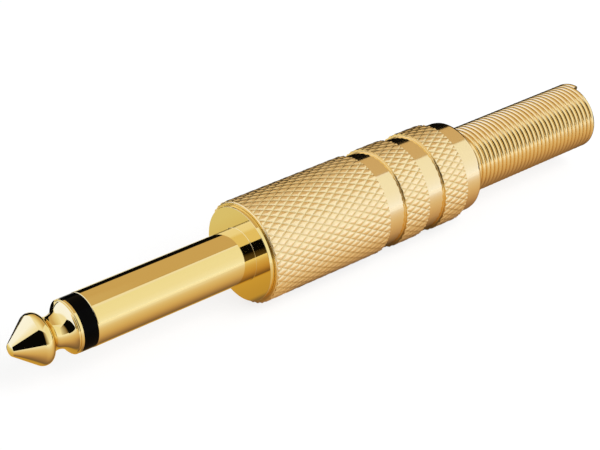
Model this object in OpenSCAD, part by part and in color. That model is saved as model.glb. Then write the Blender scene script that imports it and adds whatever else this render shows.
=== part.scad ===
// A 6.35 mm two-pole phone plug with a knurled metal barrel and a coil spring as strain relief.
// The plug's axis runs along X: the tip points to -X and the cable leaves to +X.
// The origin is on the axis, on the front face of the flange that stops the plug in its jack.

/* [Shaft and tip] */
// Diameter of the shaft that goes into the jack
shaft_d = 6.35; // [6.1:0.05:6.6]
// Length from the front face of the flange to the end of the tip
plug_len = 30.6; // [29.5:0.1:32]
// Length of the metal shaft in front of the flange
sleeve_len = 21.35; // [20:0.05:22]
// Bevel at the front edge of the shaft
shaft_bevel = 0.12; // [0.05:0.01:0.3]
// Width of the black collar between tip and shaft
collar_w = 1.8; // [1:0.1:2.4]
// Diameter of the black collar
collar_d = 6.27; // [5.9:0.01:6.35]
// Largest diameter of the rounded tip
ball_d = 5.94; // [5.6:0.02:6.1]
// Radius that rounds the tip at its largest diameter
ball_round = 0.9; // [0.7:0.05:1]
// Half angle of the cone in front
cone_angle = 37.5; // [36:0.5:39]
// Diameter of the flat end of the cone
tip_flat_d = 0.9; // [0.6:0.05:1.1]
// Radius of the edge round that flat end
tip_edge_round = 0.25; // [0.15:0.05:0.3]
// Diameter of the neck behind the tip, where the jack's spring catches
neck_d = 3.82; // [3.5:0.02:4.1]
// Radius of the hollow on the front side of the neck
neck_round = 1.2; // [1:0.1:1.3]
// Length of the straight part of the neck
neck_flat = 0.45; // [0.3:0.05:0.6]
// Radius of the hollow on the rear side of the neck
neck_rear_round = 0.6; // [0.5:0.05:0.7]
// Slope of the shoulder behind the neck
shoulder_angle = 55; // [50:1:60]
// Diameter of the shoulder
shoulder_d = 5.98; // [5.8:0.02:6.1]
// Radius that rounds the shoulder's edge
shoulder_round = 0.3; // [0.2:0.05:0.4]
// Length of the shoulder's straight part
shoulder_w = 0.17; // [0.05:0.01:0.6]
// Width of the rim between the shoulder and the collar
rim_w = 0.35; // [0.2:0.05:0.45]
// Diameter of that rim
rim_d = 6.25; // [6.15:0.01:6.3]

/* [Rod and insulators] */
// Diameter of the rod that carries the tip through the shaft
rod_d = 2.3; // [1.8:0.1:2.5]
// Diameter of the peened head at the rear end of the rod
rod_head_d = 3.4; // [3.2:0.1:3.8]
// Height of that head
rod_head_h = 0.6; // [0.4:0.1:1]
// Wall of the tube that insulates the rod
rod_tube_wall = 0.5; // [0.35:0.05:0.6]
// Diameter of the collar's spigot inside the shaft
collar_spigot_d = 4.6; // [4.3:0.1:4.7]
// Length of the collar's spigot
collar_spigot_len = 3; // [2:0.5:5]
// Clearance round parts that are pushed together
push_gap = 0.05; // [0.03:0.01:0.08]
// Diameter of the rear bush inside the hub
bush_spigot_d = 4.4; // [4.2:0.1:4.6]
// Length of that spigot
bush_spigot_len = 2; // [1:0.5:3]
// Diameter of the rear bush's flange
bush_flange_d = 5.4; // [5:0.1:5.6]
// Thickness of the rear bush's flange
bush_flange_t = 0.8; // [0.5:0.1:1.2]

/* [Flange and threaded hub] */
// Diameter of the flange
flange_d = 11.4; // [11:0.1:11.6]
// Thickness of the flange
flange_t = 0.55; // [0.5:0.05:1]
// Radius of the flange's front edge
flange_round = 0.35; // [0.15:0.05:0.4]
// Outer diameter of the thread on the hub
thread_d = 10; // [9.9:0.05:10.1]
// Width of the run-out groove between flange and thread
relief_w = 0.8; // [0.6:0.1:1.2]
// Diameter of the run-out groove
relief_d = 8.8; // [8.4:0.1:9]
// Length of the thread on the hub
thread_len = 5.2; // [5:0.1:6]
// Bevel at the rear end of the thread
thread_bevel = 0.4; // [0.2:0.05:0.6]
// Diameter of the short spigot that the cable clamp is staked on
stake_d = 5.8; // [5.7:0.05:6]

/* [Solder lugs and cable clamp] */
// Thickness of the cable clamp's sheet metal
clamp_t = 0.5; // [0.4:0.05:0.6]
// Inner radius of the cable clamp's trough
clamp_r = 2.4; // [2.2:0.05:2.7]
// Length of the trough
clamp_len = 6; // [4:0.5:7]
// Width of the strip between ring and trough
strip_w = 3.6; // [3:0.1:4]
// Length of the strip between ring and trough
strip_len = 11.5; // [9:0.5:13]
// Room between the clamp and the liner round it
clamp_room = 0.2; // [0.15:0.05:0.3]
// Thickness of the tip's solder lug
tip_lug_t = 0.4; // [0.3:0.05:0.6]
// Width of the tip's solder lug
tip_lug_w = 2.6; // [2.3:0.1:2.8]
// Diameter of that lug's ring under the rod's head
tip_lug_ring_d = 3.8; // [3.4:0.1:4.4]
// Length of the lug behind its ring
tip_lug_len = 6.2; // [4:0.1:8]
// Height of the lug above the axis
tip_lug_h = 2.4; // [2.2:0.1:2.8]
// Diameter of the holes for the wires
wire_hole_d = 1.3; // [1:0.1:1.5]

/* [Barrel] */
// Diameter over the knurl
barrel_d = 12.4; // [12.2:0.05:12.7]
// Depth of the knurl
knurl_depth = 0.2; // [0.12:0.01:0.24]
// Number of knurl grooves round the barrel, each way
knurl_count = 40; // [34:1:44]
// Angle of the knurl grooves to the axis
knurl_angle = 30; // [27:1:34]
// Length of the front knurled band
band_front = 16.65; // [12:0.05:20]
// Length of each of the two short knurled bands
band_short = 3.45; // [2.5:0.05:5]
// Width of each smooth groove, from band to band
groove_w = 2.85; // [2:0.05:3.5]
// Diameter of the smooth grooves
groove_d = 11.7; // [11.3:0.05:11.9]
// Diameter of the smooth tail
tail_d = 11.4; // [11.2:0.05:11.9]
// Length of the smooth tail
tail_len = 2.6; // [2:0.1:5]
// Radius of the tail's rear edge
tail_round = 0.5; // [0.3:0.05:0.8]
// Diameter of the barrel's front face
mouth_d = 11.5; // [11.3:0.05:11.6]
// Length of the bevel between the front face and the knurl
mouth_bevel = 0.3; // [0.2:0.05:0.5]
// Width of the plain land at each end of a knurled band
land_w = 0.08; // [0.06:0.01:0.15]
// Clearance between the threads of hub and barrel
thread_clear = 0.05; // [0.03:0.01:0.08]
// Length of thread in the barrel past the end of the hub's thread
thread_spare = 0.4; // [0.2:0.1:0.8]
// Bore of the barrel behind the thread
bore_d = 9.5; // [9.4:0.05:9.6]
// Thickness of the rear wall that holds the spring
rear_wall = 2.8; // [2:0.1:4]
// Gap between flange and barrel when it is screwed home
seat_gap = 0.02; // [0.01:0.01:0.05]

/* [Liner and spring] */
// Wall of the insulating liner
liner_t = 0.35; // [0.25:0.05:0.4]
// Clearance between liner and barrel
liner_clear = 0.1; // [0.06:0.01:0.15]
// Gap at each end of the liner
liner_end_gap = 0.25; // [0.15:0.05:0.4]
// Wire diameter of the spring
wire_d = 0.68; // [0.64:0.01:0.69]
// Distance from one turn of the spring to the next
spring_pitch = 0.7; // [0.7:0.005:0.76]
// Outer diameter of the spring
spring_d = 8.4; // [8.1:0.05:8.5]
// Length of spring behind the barrel
spring_out = 22.5; // [12:0.1:26]
// Clearance between the spring and the hole it leaves by
spring_clear = 0.15; // [0.1:0.01:0.2]
// Turns of the wide front end that holds the spring in the barrel
flare_turns = 2; // [1.5:0.25:3]
// Clearance between the spring's wide end and the bore
flare_clear = 0.15; // [0.1:0.01:0.2]
// Direction in which the spring's rear wire end points, from +Y towards +Z
spring_end_angle = 93; // [0:1:360]
// Straight segments in one turn of the spring
spring_steps = 14; // [13:1:16]

/* [Hidden] */

$fn = 96;
eps = 0.01;
// How far a cut runs past the faces that it opens
past = 1;
arc_steps = 8;
wire_sides = 8;

// Radii of what is given by its diameter
shaft_r = shaft_d / 2;
ball_r = ball_d / 2;
neck_r = neck_d / 2;
shoulder_r = shoulder_d / 2;
rod_r = rod_d / 2;
flange_r = flange_d / 2;
thread_r = thread_d / 2;
stake_r = stake_d / 2;
groove_r = groove_d / 2;
tail_r = tail_d / 2;
bore_r = bore_d / 2;
wire_r = wire_d / 2;

// Places along the axis, from front to rear
tip_x = -plug_len;
collar_x = -sleeve_len - collar_w;
thread_x = flange_t + relief_w;
hub_x = thread_x + thread_len;
stake_x = hub_x + clamp_t;
tip_lug_x = stake_x + bush_flange_t;
rod_head_x = tip_lug_x + tip_lug_t;
clamp_x = stake_x + strip_len;

// Sizes that follow from what a piece holds or sits in
rod_hole_r = rod_r + push_gap;
tube_r = rod_hole_r + rod_tube_wall;
sleeve_bore_r = tube_r + push_gap;
bush_spigot_x = stake_x - bush_spigot_len;
liner_r = bore_r - liner_clear;
liner_in_r = liner_r - liner_t;
clamp_max_r = liner_in_r - clamp_room;

// The barrel: each band is a pair of places where its knurl starts and ends. The lands beside it
// stand a little above the knurl's floor, and the turned core ends a little below that floor.
land_h = 0.05;
core_depth = 0.1;
barrel_x = flange_t + seat_gap;
land_r = barrel_d / 2 - knurl_depth + land_h;
band_step = land_r - groove_r;
band_edge = land_w + band_step;
bands = [for (i = [0:2])
    let (start = barrel_x + mouth_bevel + land_w
             + (i > 0 ? band_front + groove_w : 0) + (i > 1 ? band_short + groove_w : 0))
    [start, start + (i == 0 ? band_front : band_short)]];
tail_x = bands[2][1] + land_w + land_r - tail_r;
barrel_end = tail_x + tail_len;
knurl_row = PI * barrel_d / knurl_count / tan(knurl_angle) / 2;
knurl_floor_r = barrel_d / 2 - knurl_depth;
core_r = knurl_floor_r - core_depth;
thread_bore_r = thread_r + thread_clear;
thread_bore_end = hub_x + thread_spare;

// The spring: its wide front end lies against the rear wall
wall_x = barrel_end - rear_wall;
exit_r = spring_d / 2 + spring_clear;
spring_end = barrel_end + spring_out;
flare_len = flare_turns * spring_pitch;
spring_x = wall_x - flare_len - wire_r;
coil_r = spring_d / 2 - wire_r;
flare_r = bore_r - flare_clear - wire_r;
turns = (spring_end - spring_x) / spring_pitch;
liner_x = thread_bore_end + liner_end_gap;
liner_end = spring_x - wire_r - liner_end_gap;

// Points of an arc, from angle a to angle b
function arc(cx, cy, r, a, b, steps = arc_steps) =
    [for (i = [0:steps]) let (t = a + (b - a) * i / steps) [cx + r * cos(t), cy + r * sin(t)]];

// Turns an outline of [place along the axis, radius] points round the X axis
module turned(outline) {
    rotate([0, 90, 0])
        rotate_extrude()
            polygon([for (p = outline) [p[1], p[0]]]);
}

// A plain round bar or, with a hole, a tube along the X axis
module bar(x0, x1, r, hole_r = 0) {
    turned([[x0, hole_r], [x0, r], [x1, r], [x1, hole_r]]);
}

// Tip contact: the cone, ball, neck and shoulder are turned in one piece with the rod,
// whose rear end is peened over the solder lug. The tip's outline starts at its flat end, and
// is drawn out or in along the axis to fill the length that the shaft and collar leave it.
module tip_contact() {
    cone_n = 90 + cone_angle;
    flat_r = tip_flat_d / 2;
    cone_start = [tip_edge_round * (1 + cos(cone_n)), flat_r + tip_edge_round * sin(cone_n)];
    ball_c = [cone_start[0] + (ball_r - ball_round - cone_start[1] + ball_round / cos(cone_angle))
                  / tan(cone_angle),
              ball_r - ball_round];
    hollow_r = neck_r + neck_round;
    hollow_x = ball_c[0] + sqrt(pow(ball_round + neck_round, 2) - pow(ball_c[1] - hollow_r, 2));
    meet = atan2(hollow_r - ball_c[1], hollow_x - ball_c[0]);
    rear_hollow = [hollow_x + neck_flat, neck_r + neck_rear_round];
    slope_n = 90 + shoulder_angle;
    slope_start = rear_hollow + neck_rear_round * [sin(shoulder_angle), -cos(shoulder_angle)];
    shoulder_cr = shoulder_r - shoulder_round;
    shoulder_x = slope_start[0]
        + (shoulder_cr - slope_start[1] + shoulder_round / cos(shoulder_angle)) / tan(shoulder_angle);
    rim_x = shoulder_x + shoulder_w;
    tip_outline = concat(
        [[0, 0]],
        arc(tip_edge_round, flat_r, tip_edge_round, 180, cone_n, 3),
        arc(ball_c[0], ball_c[1], ball_round, cone_n, meet),
        arc(hollow_x, hollow_r, neck_round, 180 + meet, 270),
        arc(rear_hollow[0], rear_hollow[1], neck_rear_round, 270, 270 + shoulder_angle, 5),
        arc(shoulder_x, shoulder_cr, shoulder_round, slope_n, 90, 4),
        [[rim_x, shoulder_r], [rim_x, rim_d / 2], [rim_x + rim_w, rim_d / 2]]);
    fit = (collar_x - tip_x) / (rim_x + rim_w);
    head_edge = rod_head_h / 2;
    dent_r = 0.3 * rod_r;
    dent_depth = 0.2 * rod_head_h;
    outline = concat(
        [for (p = tip_outline) [tip_x + fit * p[0], p[1]]],
        [[collar_x, rod_r], [rod_head_x, rod_r], [rod_head_x, rod_head_d / 2]],
        arc(rod_head_x + head_edge, rod_head_d / 2 - head_edge, head_edge, 90, 0, 4),
        [[rod_head_x + rod_head_h, dent_r], [rod_head_x + rod_head_h - dent_depth, 0]]);
    color("gold")
        turned(outline);
}

// Black collar that keeps tip and shaft apart, with a spigot inside the shaft
module tip_collar() {
    spigot_r = collar_spigot_d / 2;
    color("#161412")
        turned([[collar_x, rod_hole_r], [collar_x, collar_d / 2], [-sleeve_len, collar_d / 2],
                [-sleeve_len, spigot_r], [collar_spigot_len - sleeve_len, spigot_r],
                [collar_spigot_len - sleeve_len, rod_hole_r]]);
}

// Tube that insulates the rod along the shaft
module rod_tube() {
    color("ivory")
        bar(collar_spigot_len - sleeve_len, bush_spigot_x, tube_r, rod_hole_r);
}

// Shaft, flange and threaded hub, turned in one piece and bored through
module sleeve() {
    front_r = collar_spigot_d / 2 + push_gap;
    rear_r = bush_spigot_d / 2 + push_gap;
    outline = concat(
        [[-sleeve_len, front_r], [-sleeve_len, shaft_r - shaft_bevel],
         [shaft_bevel - sleeve_len, shaft_r], [0, shaft_r]],
        arc(flange_round, flange_r - flange_round, flange_round, 180, 90, 5),
        [[flange_t, flange_r], [flange_t, relief_d / 2], [thread_x, relief_d / 2],
         [thread_x + (thread_d - relief_d) / 4, thread_r], [hub_x - thread_bevel, thread_r],
         [hub_x, thread_r - thread_bevel], [hub_x, stake_r], [stake_x, stake_r], [stake_x, rear_r],
         [bush_spigot_x, rear_r], [bush_spigot_x, sleeve_bore_r],
         [collar_spigot_len - sleeve_len, sleeve_bore_r], [collar_spigot_len - sleeve_len, front_r]]);
    color("gold")
        turned(outline);
}

// Outer contact: a stamped ring staked on the hub, a strip, and a trough with two wings
// that are pressed round the cable. The screen wire is soldered in the hole of the strip.
module ground_lug() {
    strip_z = -sqrt(pow(clamp_max_r, 2) - pow(strip_w / 2, 2));
    trough_z = -clamp_r - clamp_t;
    wing_z = sqrt(pow(clamp_max_r, 2) - pow(clamp_r + clamp_t, 2));
    joggle_share = 0.45;
    joggle_x = hub_x + joggle_share * strip_len;
    joggle_w = abs(trough_z - strip_z) + clamp_t;
    side = [[hub_x, strip_z], [joggle_x, strip_z], [joggle_x + joggle_w, trough_z],
            [clamp_x, trough_z], [clamp_x, trough_z + clamp_t],
            [joggle_x + joggle_w, trough_z + clamp_t], [joggle_x, strip_z + clamp_t],
            [hub_x, strip_z + clamp_t]];
    color("gold") {
        difference() {
            union() {
                bar(hub_x, stake_x, clamp_max_r);
                translate([0, strip_w / 2, 0])
                    rotate([90, 0, 0])
                        linear_extrude(strip_w)
                            polygon(side);
            }
            bar(hub_x - past, stake_x + past, stake_r + push_gap);
            translate([hub_x + strip_len / 4, 0, strip_z - past])
                cylinder(d = wire_hole_d, h = clamp_t + 2 * past);
        }
        difference() {
            union() {
                bar(clamp_x - eps, clamp_x + clamp_len, clamp_r + clamp_t);
                translate([clamp_x - eps, -clamp_r - clamp_t, 0])
                    cube([clamp_len + eps, 2 * (clamp_r + clamp_t), wing_z]);
            }
            bar(clamp_x - past, clamp_x + clamp_len + past, clamp_r);
            translate([clamp_x - past, -clamp_r, 0])
                cube([clamp_len + 2 * past, 2 * clamp_r, clamp_max_r + past]);
        }
    }
}

// Bush that insulates the rod and its lug at the rear of the hub
module rear_bush() {
    color("#2a2522")
        turned([[bush_spigot_x, rod_hole_r], [bush_spigot_x, bush_spigot_d / 2],
                [stake_x, bush_spigot_d / 2], [stake_x, bush_flange_d / 2],
                [tip_lug_x, bush_flange_d / 2], [tip_lug_x, rod_hole_r]]);
}

// Solder lug of the tip: a ring under the peened head with a tongue bent to the rear
module tip_lug() {
    tongue_end = tip_lug_x + tip_lug_len;
    color("gold")
        difference() {
            union() {
                bar(tip_lug_x, rod_head_x, tip_lug_ring_d / 2);
                translate([tip_lug_x, -tip_lug_w / 2, 0])
                    cube([tip_lug_t, tip_lug_w, tip_lug_h]);
                translate([tip_lug_x, -tip_lug_w / 2, tip_lug_h - tip_lug_t])
                    cube([tip_lug_len - tip_lug_w / 2, tip_lug_w, tip_lug_t]);
                translate([tongue_end - tip_lug_w / 2, 0, tip_lug_h - tip_lug_t])
                    cylinder(d = tip_lug_w, h = tip_lug_t);
            }
            bar(tip_lug_x - past, rod_head_x + past, rod_hole_r);
            translate([tongue_end - tip_lug_w / 2, 0, tip_lug_h - tip_lug_t - past])
                cylinder(d = wire_hole_d, h = tip_lug_t + 2 * past);
        }
}

// Insulating liner that keeps the solder joints away from the barrel
module liner() {
    color("whitesmoke")
        bar(liner_x, liner_end, liner_r, liner_in_r);
}

// One knurled band: rows of points stand half a pitch apart along the axis, and every other
// point of a row is a peak. The grooves between the peaks cross at the knurl's angle.
module knurl_band(x0, x1) {
    rows = max(2, round((x1 - x0) / knurl_row));
    around = 2 * knurl_count;
    overlap = land_w / 2;
    ring_x = concat([x0 - overlap], [for (k = [0:rows]) x0 + (x1 - x0) * k / rows], [x1 + overlap]);
    last = len(ring_x) - 1;
    function peak(k, j) = k > 1 && k < last - 1 && (k + j) % 2 == 0;
    function ring_r(k, j) = peak(k, j) ? barrel_d / 2 : knurl_floor_r;
    points = [for (k = [0:last]) for (j = [0:around - 1])
        let (t = 360 * j / around) [ring_x[k], ring_r(k, j) * cos(t), ring_r(k, j) * sin(t)]];
    function at(k, j) = k * around + j % around;
    // Each quad is split along the groove that runs through it, from floor point to floor point
    sides = [for (k = [0:last - 1]) for (j = [0:around - 1])
        let (a = at(k, j), b = at(k, j + 1), c = at(k + 1, j + 1), d = at(k + 1, j))
        each (k + j) % 2 == 0 ? [[a, d, b], [b, d, c]] : [[a, c, b], [a, d, c]]];
    front = [for (j = [0:around - 1]) j];
    rear = [for (j = [0:around - 1]) last * around + around - 1 - j];
    polyhedron(points, concat([front], sides, [rear]));
}

// Barrel: a turned shell with three knurled bands, two smooth grooves and a smooth tail
module barrel() {
    function edge_in(x) = [[x, groove_r], [x + band_step, land_r], [x + band_edge, land_r],
                           [x + band_edge, core_r]];
    function edge_out(x, low_r = groove_r) =
        [[x, core_r], [x, land_r], [x + land_w, land_r], [x + land_w + land_r - low_r, low_r]];
    outline = concat(
        [[barrel_x, 0], [barrel_x, mouth_d / 2], [barrel_x + mouth_bevel, land_r],
         [bands[0][0], land_r], [bands[0][0], core_r]],
        edge_out(bands[0][1]), edge_in(bands[1][0] - band_edge),
        edge_out(bands[1][1]), edge_in(bands[2][0] - band_edge),
        edge_out(bands[2][1], tail_r),
        arc(barrel_end - tail_round, tail_r - tail_round, tail_round, 90, 0, 5),
        [[barrel_end, 0]]);
    color("#e8c878")
        difference() {
            union() {
                turned(outline);
                for (b = bands)
                    knurl_band(b[0], b[1]);
            }
            bar(barrel_x - past, thread_bore_end, thread_bore_r);
            bar(barrel_x - past, wall_x, bore_r);
            bar(barrel_x - past, barrel_end + past, exit_r);
        }
}

// Close-wound strain relief spring: its wide front turns are held behind the barrel's rear wall
module relief_spring() {
    rings = round(turns * spring_steps);
    // The wide turns keep their full radius for a while before they close in on the spring's own
    flare_hold = 1.6;
    function lean(k) = max(0, 1 - k / (flare_turns * spring_steps));
    function helix_r(k) = coil_r + (flare_r - coil_r) * min(1, flare_hold * lean(k));
    function helix_x(k) = spring_end - wire_r - spring_pitch * (rings - k) / spring_steps;
    function helix_a(k) = spring_end_angle - 360 * (rings - k) / spring_steps;
    points = [for (k = [0:rings]) for (j = [0:wire_sides - 1])
        let (t = 360 * j / wire_sides, r = helix_r(k) + wire_r * sin(t))
        [helix_x(k) + wire_r * cos(t), r * cos(helix_a(k)), r * sin(helix_a(k))]];
    function at(k, j) = k * wire_sides + j % wire_sides;
    sides = [for (k = [0:rings - 1]) for (j = [0:wire_sides - 1])
        [at(k, j), at(k + 1, j), at(k + 1, j + 1), at(k, j + 1)]];
    front = [for (j = [0:wire_sides - 1]) j];
    rear = [for (j = [0:wire_sides - 1]) rings * wire_sides + wire_sides - 1 - j];
    color("#e8c878")
        polyhedron(points, concat([front], sides, [rear]));
}

tip_contact();
tip_collar();
rod_tube();
sleeve();
ground_lug();
rear_bush();
tip_lug();
liner();
barrel();
relief_spring();
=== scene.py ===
"""A gold-plated two-pole phone plug on a pale table: its surfaces, its details and its light."""

import math

import bmesh
import bpy
from mathutils import Matrix, Vector


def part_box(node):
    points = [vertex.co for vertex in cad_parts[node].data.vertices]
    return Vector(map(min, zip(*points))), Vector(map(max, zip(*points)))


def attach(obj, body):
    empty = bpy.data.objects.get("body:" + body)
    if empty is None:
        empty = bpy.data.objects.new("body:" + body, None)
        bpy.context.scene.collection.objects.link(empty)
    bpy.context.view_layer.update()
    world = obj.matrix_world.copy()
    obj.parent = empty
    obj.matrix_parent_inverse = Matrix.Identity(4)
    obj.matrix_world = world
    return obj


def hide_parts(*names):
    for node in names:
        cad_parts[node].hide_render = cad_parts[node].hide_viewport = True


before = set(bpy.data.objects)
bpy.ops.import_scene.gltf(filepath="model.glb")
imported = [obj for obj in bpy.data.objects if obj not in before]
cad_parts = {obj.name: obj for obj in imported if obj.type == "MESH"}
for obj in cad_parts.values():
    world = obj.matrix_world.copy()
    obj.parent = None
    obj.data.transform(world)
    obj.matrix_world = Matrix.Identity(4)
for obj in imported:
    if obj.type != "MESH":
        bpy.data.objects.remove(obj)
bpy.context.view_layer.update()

# Sizes are in millimetres, along the plug's axis from the flange's front face, and as radii from
# the axis. Angles are in degrees.
MM = 0.001


def extent(node):
    """Start and end of a CAD node along the axis, and its radius, in millimetres."""
    low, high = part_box(node)
    return low.x / MM, high.x / MM, high.y / MM


TIP_X, HEAD_END, RIM_R = extent("tip_contact")
COLLAR_X, SPIGOT_END, COLLAR_R = extent("tip_collar")
SHAFT_X, STAKE_X, FLANGE_R = extent("sleeve")
TUBE_X, TUBE_END, TUBE_R = extent("rod_tube")
BUSH_X, BUSH_END, BUSH_R = extent("rear_bush")
BARREL_X, BARREL_END, BARREL_R = extent("barrel")
LINER_X, LINER_END, LINER_R = extent("liner")
SPRING_X, SPRING_END, FLARE_R = extent("relief_spring")

# The tip: a slightly domed end, a cone, a ball, a neck, a hollow shoulder and a rim.
# TIP_FLAT_R is what the end would have for its flat if it had no dome.
TIP_DOME = 26
TIP_FLAT_R = 0.45
TIP_EDGE = 0.25
CONE_ANGLE = 37.5
BALL_R = 2.97
BALL_ROUND = 0.9
NECK_R = 1.91
NECK_ROUND = 1.2
NECK_REAR_ROUND = 1.9
SHOULDER_R = 2.99
SHOULDER_ANGLE = 62
SHOULDER_ROUND = 0.12
RIM_W = 0.35

# The tip's rod, the hole for it in the insulators, and its peened head with a dished end
ROD_R = 1.15
HOLE_R = 1.2
HEAD_R = 1.7
HEAD_H = 0.6
HEAD_ROUND = 0.45
DISH_R = 0.5
DISH_DEPTH = 0.15

# Shaft, flange and hub, and the insulators' spigots in them
SHAFT_FRONT = -21.35
SHAFT_R = 3.175
SHAFT_ROUND = 0.11
FLANGE_T = 0.55
RELIEF_R = 4.4
RELIEF_W = 0.8
RELIEF_ROUND = 0.12
STAKE_R = 2.9
STAKE_ROUND = 0.08
SPIGOT_R = 2.3
BUSH_SPIGOT_R = 2.2
BUSH_FLANGE_T = 0.8
BUSH_ROUND = 0.06
SPIGOT_CLEAR = 0.05
SLEEVE_BORE = 1.75
LINER_T = 0.35

# The thread of hub and barrel. Its flats are half widths, as shares of the pitch.
THREAD_R = 5.0
THREAD_LEN = 5.2
THREAD_PITCH = 0.75
THREAD_DEPTH = 0.46
THREAD_CLEAR = 0.04
THREAD_END_R = 4.55
THREAD_RUNOUT = 0.4
ROOT_FLAT = 0.12
CREST_FLAT = 0.07

# The barrel: three knurled bands, the grooves between them, the tail and the bore
FIRST_BAND = 0.38
BAND_LENGTHS = (16.65, 3.45, 3.45)
BAND_REACH = 0.13
GROOVE_R = 5.85
GROOVE_W = 2.85
GROOVE_FRONT_ROUND = 0.03
GROOVE_REAR_ROUND = 0.05
TAIL_R = 5.7
TAIL_ROUND = 0.5
MOUTH_ROUND = 0.12
MOUTH_BORE_R = 5.2
MOUTH_LAND = 0.05
BORE_R = 4.75
REAR_WALL = 2.8
EXIT_R = 4.35
EXIT_ROUND = 0.12
HALVING_W = 0.2

# The knurl. Steps are the grid's rows along half a diamond, and a wall is a band's steep end.
KNURL_COUNT = 40
KNURL_ANGLE = 30
KNURL_DEPTH = 0.125
KNURL_STEPS = 5
KNURL_FULLNESS = 2.3
KNURL_WALL = 0.012
KNURL_BLEND = 0.1

# The spring. Its wide front turns keep their full width for a share of their number.
WIRE_R = 0.34
WIRE_SIDES = 14
WIRE_END_ANGLE = 93
COIL_R = 3.86
COIL_PITCH = 0.7
COIL_STEPS = 56
FLARE_TURNS = 2.0
FLARE_HOLD = 0.3

# Small roundings, from the crispest turned edge to one that was broken by hand
FINE = 0.02
CRISP = 0.04
PLAIN = 0.05
SOFT = 0.1

# How finely surfaces are divided, how far from its ends a long line is held flat, and how near,
# in metres, points are when they are welded
SEEN_SEGMENTS = 256
HIDDEN_SEGMENTS = 192
HOLD = 0.02
LONG_LINE = 10 * HOLD
WELD = 1e-7


def linear(colour):
    """Linear RGBA of an sRGB hex colour."""
    parts = [int(colour[i:i + 2], 16) / 255 for i in (1, 3, 5)]
    return [c / 12.92 if c <= 0.04045 else ((c + 0.055) / 1.055) ** 2.4 for c in parts] + [1]


def add(tree, kind, inputs=(), stops=(), **settings):
    """Adds a node to a tree. An input that is a node or a socket is linked, and any other is set.

    A colour ramp takes stops: its (place, linear colour) pairs in rising order.
    """
    node = tree.nodes.new(kind)
    for name, value in settings.items():
        setattr(node, name, value)
    for key, value in inputs.items() if isinstance(inputs, dict) else enumerate(inputs):
        if isinstance(value, bpy.types.Node):
            value = value.outputs[0]
        if isinstance(value, bpy.types.NodeSocket):
            tree.links.new(value, node.inputs[key])
        else:
            node.inputs[key].default_value = value
    if stops:
        elements = node.color_ramp.elements
        elements[0].position, elements[1].position = stops[0][0], stops[-1][0]
        for place, _ in stops[1:-1]:
            elements.new(place)
        for element, (_, colour) in zip(elements, stops):
            element.color = (*colour[:3], 1)
    return node


# Materials

# A noise's usual range, how far gloss varies with it, and the size of the plating's clouds
NOISE_LOW, NOISE_HIGH = 0.3, 0.7
GLOSS_SPREAD = 0.2
PLATING_CLOUD = 3
# How far below the knurl's floor its duller finish and its painted shade and highlight begin, the
# shares of the height from there to the pillows' tops at which the painted colour changes, and the
# normal's X at which a step begins to face the tip
GROOVE_BAND = 0.06
TURNED_TO, GROOVE_FROM, ROLLED_FROM = 0.28, 0.36, 0.75
FORWARD_FROM, FORWARD_FULL = -0.5, -0.85


def new_material(name):
    """A node material with nothing in it yet, and its tree."""
    material = bpy.data.materials.new(name)
    material.use_nodes = True
    material.node_tree.nodes.clear()
    return material, material.node_tree


def knurled_look(tree, place, colour, roughness, groove_shade_colour, pillow_highlight_colour, wall_shade_colour,
                 rolled_roughness):
    """Colour and roughness of a turned surface that has a knurl.

    What stands further out than the knurl's grooves was rolled, which leaves it duller than the
    turned surfaces. A step that faces the tip was only faced off, and is as dull. The colour is
    painted light: painted shade darkens it down in the knurl's grooves, a painted highlight pales
    the pillows' tops, and steps that face the tip get a deeper yellow, painted shade that tones
    down the pale light they reflect.
    """
    floor = BARREL_R - KNURL_DEPTH
    across = add(tree, "ShaderNodeVectorMath", {0: place, 1: (0, 1, 1)}, operation="MULTIPLY")
    radius = add(tree, "ShaderNodeVectorMath", [across], operation="LENGTH").outputs["Value"]
    rolled = add(tree, "ShaderNodeMapRange", [radius, (floor - GROOVE_BAND) * MM, floor * MM])
    height = add(tree, "ShaderNodeMapRange", [radius, (floor - GROOVE_BAND) * MM, BARREL_R * MM])
    # Painted shade and highlight: the colour darkens down in the knurl's grooves and pales on the
    # pillows' tops.
    groove_shade_colour, pillow_highlight_colour = linear(groove_shade_colour), linear(pillow_highlight_colour)
    tint = add(tree, "ShaderNodeValToRGB", [height], stops=(
        (0, colour), (TURNED_TO, colour), (GROOVE_FROM, groove_shade_colour),
        (ROLLED_FROM, pillow_highlight_colour), (1, pillow_highlight_colour)))
    normal = add(tree, "ShaderNodeTexCoord").outputs["Normal"]
    facing = add(tree, "ShaderNodeSeparateXYZ", [normal]).outputs["X"]
    forward = add(tree, "ShaderNodeMapRange", [facing, FORWARD_FROM, FORWARD_FULL])
    dull = add(tree, "ShaderNodeMath", [rolled, forward], operation="MAXIMUM")
    rough = add(tree, "ShaderNodeMapRange", {0: dull, 3: roughness, 4: rolled_roughness})
    # Painted shade: steps that face the tip get a deeper yellow, which tones down the pale light they
    # reflect.
    tint = add(tree, "ShaderNodeMix", {0: forward, 6: tint, 7: linear(wall_shade_colour)}, data_type="RGBA")
    return tint.outputs[2], rough


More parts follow.
